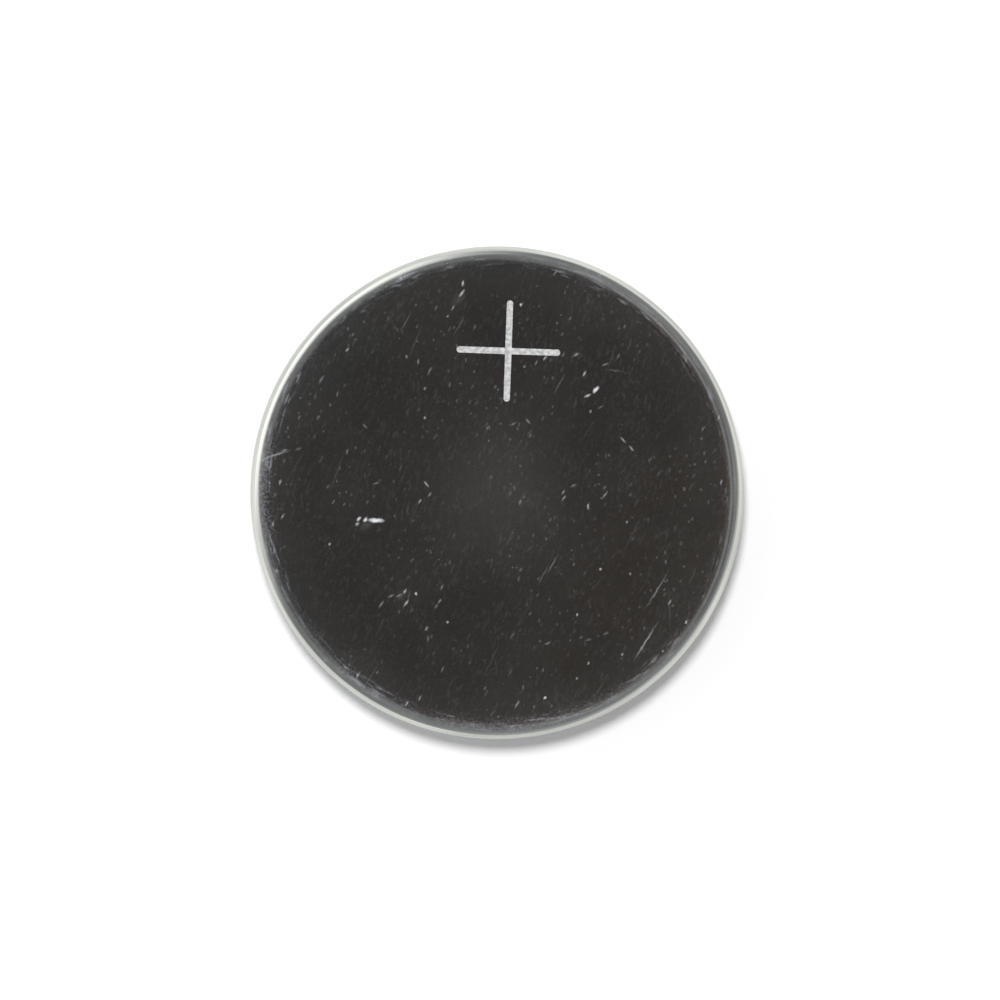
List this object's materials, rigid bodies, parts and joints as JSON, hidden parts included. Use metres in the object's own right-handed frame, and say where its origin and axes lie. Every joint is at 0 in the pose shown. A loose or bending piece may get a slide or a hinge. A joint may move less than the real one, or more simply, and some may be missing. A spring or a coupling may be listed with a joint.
{
  "type": "lithium coin cell",
  "caption": "Flat round primary cell: a crimped steel can with a rolled edge, a gasket and a stepped cap closed round a lithium stack.",
  "frame": {"origin": "centre of the negative face, which the cell rests on", "axes": "+Z along the cell's axis, from the negative face to the positive face"},
  "size_m": [0.02, 0.02, 0.0016],
  "materials": {
    "can_steel": "polished, with fine scratches and a frosted plus sign",
    "gasket_polymer": "moulded, slightly translucent",
    "cap_steel": "finely pebbled",
    "cathode_mix": "pressed powder",
    "ring_steel": "rolled",
    "separator_fleece": "non-woven",
    "lithium_foil": "dull, soft"
  },
  "bodies": {
    "root": {"positive_can": "can_steel", "gasket": "gasket_polymer", "negative_cap": "cap_steel", "cathode_pellet": "cathode_mix", "cathode_ring": "ring_steel", "separator": "separator_fleece", "lithium_disc": "lithium_foil"}
  },
  "joints": []
}
